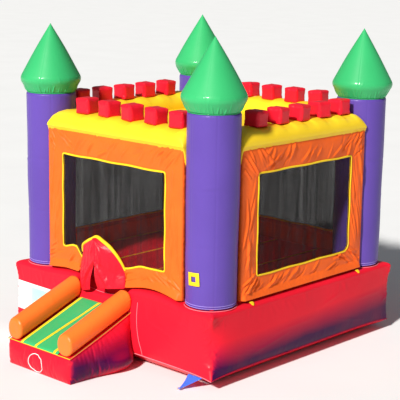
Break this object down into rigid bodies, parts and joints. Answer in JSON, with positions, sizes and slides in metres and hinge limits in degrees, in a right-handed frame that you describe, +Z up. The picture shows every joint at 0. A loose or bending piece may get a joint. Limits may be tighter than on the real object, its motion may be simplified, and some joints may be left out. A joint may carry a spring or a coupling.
{
  "type": "inflatable bounce house",
  "caption": "Inflatable castle bounce house: square air mattress, round corner towers with onion spires, mesh-windowed fabric walls, curtained arch door and padded entry ramp.",
  "frame": {"origin": "on the ground at the middle of the square base's flat underside", "axes": "+Z up, -Y out of the entrance and down the ramp, +X to the right of someone who faces +Y"},
  "size_m": [4.04, 5.4243, 4.545],
  "materials": {
    "red_vinyl": "PVC-coated polyester, satin gloss, sewn and taut",
    "red_fabric": "unstretched PVC-coated cloth, soft folds",
    "purple_vinyl": "PVC-coated polyester, satin gloss, taut round panels",
    "green_vinyl": "PVC-coated polyester, glossy, puckered at the seam",
    "yellow_vinyl": "PVC-coated polyester, satin gloss",
    "orange_vinyl": "PVC-coated polyester, satin gloss",
    "orange_fabric": "single PVC-coated sheet, wrinkled where it is laced to the chambers",
    "black_netting": "open knitted safety netting",
    "blue_webbing": "woven nylon webbing",
    "ring_steel": "galvanised steel wire"
  },
  "bodies": {
    "inflatable": {"base_mattress": "red_vinyl", "bounce_floor": "red_vinyl", "column_front_left": "purple_vinyl", "column_front_right": "purple_vinyl", "column_rear_left": "purple_vinyl", "column_rear_right": "purple_vinyl", "spire_front_left": "green_vinyl", "spire_front_right": "green_vinyl", "spire_rear_left": "green_vinyl", "spire_rear_right": "green_vinyl", "beam_front": "yellow_vinyl", "beam_right": "yellow_vinyl", "beam_rear": "yellow_vinyl", "beam_left": "yellow_vinyl", "battlement_front_1": "red_vinyl", "battlement_front_2": "red_vinyl", "battlement_front_3": "red_vinyl", "battlement_front_4": "red_vinyl", "battlement_front_5": "red_vinyl", "battlement_right_1": "red_vinyl", "battlement_right_2": "red_vinyl", "battlement_right_3": "red_vinyl", "battlement_right_4": "red_vinyl", "battlement_right_5": "red_vinyl", "battlement_rear_1": "red_vinyl", "battlement_rear_2": "red_vinyl", "battlement_rear_3": "red_vinyl", "battlement_rear_4": "red_vinyl", "battlement_rear_5": "red_vinyl", "battlement_left_1": "red_vinyl", "battlement_left_2": "red_vinyl", "battlement_left_3": "red_vinyl", "battlement_left_4": "red_vinyl", "battlement_left_5": "red_vinyl", "wall_front": "orange_fabric", "wall_right": "orange_fabric", "wall_rear": "orange_fabric", "wall_left": "orange_fabric", "window_mesh_front": "black_netting", "window_mesh_right": "black_netting", "window_mesh_rear": "black_netting", "window_mesh_left": "black_netting", "roof_sheet": "yellow_vinyl", "door_hood": "yellow_vinyl", "ramp_body": "red_vinyl", "ramp_bed": "green_vinyl", "ramp_bolster_left": "orange_vinyl", "ramp_bolster_right": "orange_vinyl", "anchor_tab_front_left": "blue_webbing", "anchor_tab_front_right": "blue_webbing", "anchor_tab_rear_left": "blue_webbing", "anchor_tab_rear_right": "blue_webbing", "inflation_sleeve": "red_fabric", "deflation_sleeve": "red_fabric"},
    "flap_left": {"door_flap_left": "red_fabric"},
    "flap_right": {"door_flap_right": "red_fabric"},
    "ring_front_left": {"anchor_ring_front_left": "ring_steel"},
    "ring_front_right": {"anchor_ring_front_right": "ring_steel"},
    "ring_rear_left": {"anchor_ring_rear_left": "ring_steel"},
    "ring_rear_right": {"anchor_ring_rear_right": "ring_steel"}
  },
  "joints": [
    {"name": "flap_left_swing", "type": "hinge", "parent": "inflatable", "child": "flap_left", "pos_m": [-0.55, -1.906, 1.2], "axis": [0, 0, -1], "range_deg": [0, 60]},
    {"name": "flap_right_swing", "type": "hinge", "parent": "inflatable", "child": "flap_right", "pos_m": [0.27, -1.906, 1.2], "axis": [0, 0, 1], "range_deg": [0, 60]},
    {"name": "ring_front_left_swing", "type": "hinge", "parent": "inflatable", "child": "ring_front_left", "pos_m": [-1.62, -2.18, 0.026], "axis": [-1, 0, 0], "range_deg": [-20, 110]},
    {"name": "ring_front_right_swing", "type": "hinge", "parent": "inflatable", "child": "ring_front_right", "pos_m": [1.62, -2.18, 0.026], "axis": [-1, 0, 0], "range_deg": [-20, 110]},
    {"name": "ring_rear_left_swing", "type": "hinge", "parent": "inflatable", "child": "ring_rear_left", "pos_m": [-1.62, 2.18, 0.026], "axis": [1, 0, 0], "range_deg": [-20, 110]},
    {"name": "ring_rear_right_swing", "type": "hinge", "parent": "inflatable", "child": "ring_rear_right", "pos_m": [1.62, 2.18, 0.026], "axis": [1, 0, 0], "range_deg": [-20, 110]}
  ]
}
